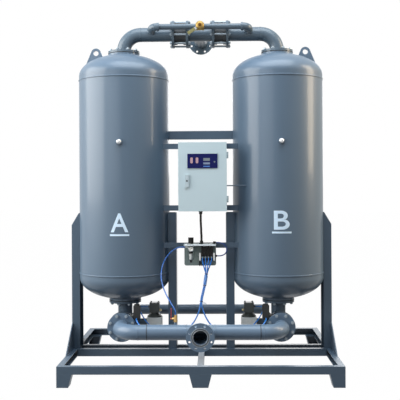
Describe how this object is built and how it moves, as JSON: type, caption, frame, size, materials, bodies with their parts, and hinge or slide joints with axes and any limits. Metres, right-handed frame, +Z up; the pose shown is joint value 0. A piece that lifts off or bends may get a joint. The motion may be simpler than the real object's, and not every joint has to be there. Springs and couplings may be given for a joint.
{
  "type": "twin-tower desiccant air dryer",
  "caption": "Twin-tower desiccant air dryer on a skid, with flanged pipework, check valves, a control box with a hinged door and a pneumatic panel.",
  "frame": {"origin": "centre of the skid's footprint on the floor", "axes": "+Z up, -Y towards the front with the inlet flange and the control box, +X to the right"},
  "size_m": [2.18, 1.6, 2.926],
  "materials": {
    "frame_paint": "gloss grey-blue enamel on channel steel",
    "tower_paint": "gloss grey-blue enamel on rolled plate",
    "pipe_paint": "gloss grey-blue enamel on pipe",
    "box_paint": "fine textured pale powder coat",
    "panel_paint": "satin grey-green paint on folded sheet",
    "dark_casting": "dark painted casting",
    "pale_casting": "cast and shot blasted",
    "zinc": "zinc plated",
    "brass": "forged and turned",
    "black_plastic": "moulded",
    "black_actuator": "black anodised and painted",
    "blue_tube": "extruded air tube",
    "cable_black": "round cable jacket",
    "gasket": "cut sheet",
    "yellow_grip": "dipped sleeve",
    "red_lever": "red coated lever",
    "display_navy": "printed polyester overlay",
    "regulator_grey": "moulded body and clear bowl",
    "equipment_grey": "zinc plate with grey modules",
    "desiccant": "beads of activated alumina"
  },
  "bodies": {
    "dryer": {"skid_end_rails": "frame_paint", "skid_side_rails": "frame_paint", "skid_bearers": "frame_paint", "skid_ties": "frame_paint", "skid_feet": "frame_paint", "tower_a_legs": "frame_paint", "tower_b_legs": "frame_paint", "tower_a_shell": "tower_paint", "tower_b_shell": "tower_paint", "tower_a_top_head": "tower_paint", "tower_b_top_head": "tower_paint", "tower_a_bottom_head": "tower_paint", "tower_b_bottom_head": "tower_paint", "lifting_lugs": "tower_paint", "port_plugs": "zinc", "flow_screens": "zinc", "desiccant_beds": "desiccant", "tie_bar": "frame_paint", "cross_bars": "frame_paint", "flange_gaskets": "gasket", "tower_flange_bolts": "zinc", "outlet_pipe_a": "pipe_paint", "outlet_pipe_b": "pipe_paint", "check_valves": "dark_casting", "check_valve_studs": "zinc", "outlet_tee": "pipe_paint", "purge_pipes": "pipe_paint", "purge_valve": "brass", "tower_tee_a": "pipe_paint", "tower_tee_b": "pipe_paint", "inlet_valves": "dark_casting", "inlet_actuators": "black_actuator", "inlet_valve_studs": "zinc", "inlet_pipe_a": "pipe_paint", "inlet_pipe_b": "pipe_paint", "inlet_tee": "pipe_paint", "exhaust_valves": "pale_casting", "exhaust_actuators": "black_actuator", "exhaust_pipe": "pipe_paint", "sample_valve": "brass", "control_box": "box_paint", "mounting_plate": "equipment_grey", "cable_glands": "black_plastic", "valve_panel": "panel_paint", "air_regulator": "regulator_grey", "solenoid_valves": "black_plastic", "supply_tube": "blue_tube", "loop_tube": "blue_tube", "exhaust_tube_a": "blue_tube", "exhaust_tube_b": "blue_tube", "inlet_tube_a": "blue_tube", "inlet_tube_b": "blue_tube", "control_cable": "cable_black"},
    "door": {"control_door": "box_paint", "display": "display_navy"},
    "lock": {"door_handle": "black_plastic"},
    "purge_handle": {"purge_lever": "zinc", "purge_lever_grip": "yellow_grip"},
    "sample_handle": {"sample_lever": "red_lever"},
    "pressure_knob": {"regulator_knob": "black_plastic"}
  },
  "joints": [
    {"name": "door_hinge", "type": "hinge", "parent": "dryer", "child": "door", "pos_m": [0.221, -0.405, 1.6], "axis": [0, 0, 1], "range_deg": [0, 120]},
    {"name": "lock_turn", "type": "hinge", "parent": "door", "child": "lock", "pos_m": [-0.107, -0.42, 1.594], "axis": [0, -1, 0], "range_deg": [0, 90]},
    {"name": "purge_turn", "type": "hinge", "parent": "dryer", "child": "purge_handle", "pos_m": [0, -0.262, 2.846], "axis": [0, -1, 0], "range_deg": [-34, 56]},
    {"name": "sample_turn", "type": "hinge", "parent": "dryer", "child": "sample_handle", "pos_m": [-0.231, -0.542, 0.4777], "axis": [1, 0, 0], "range_deg": [0, 90]},
    {"name": "knob_turn", "type": "hinge", "parent": "dryer", "child": "pressure_knob", "pos_m": [-0.082, -0.284, 1.06], "axis": [0, 0, 1], "continuous": true}
  ]
}
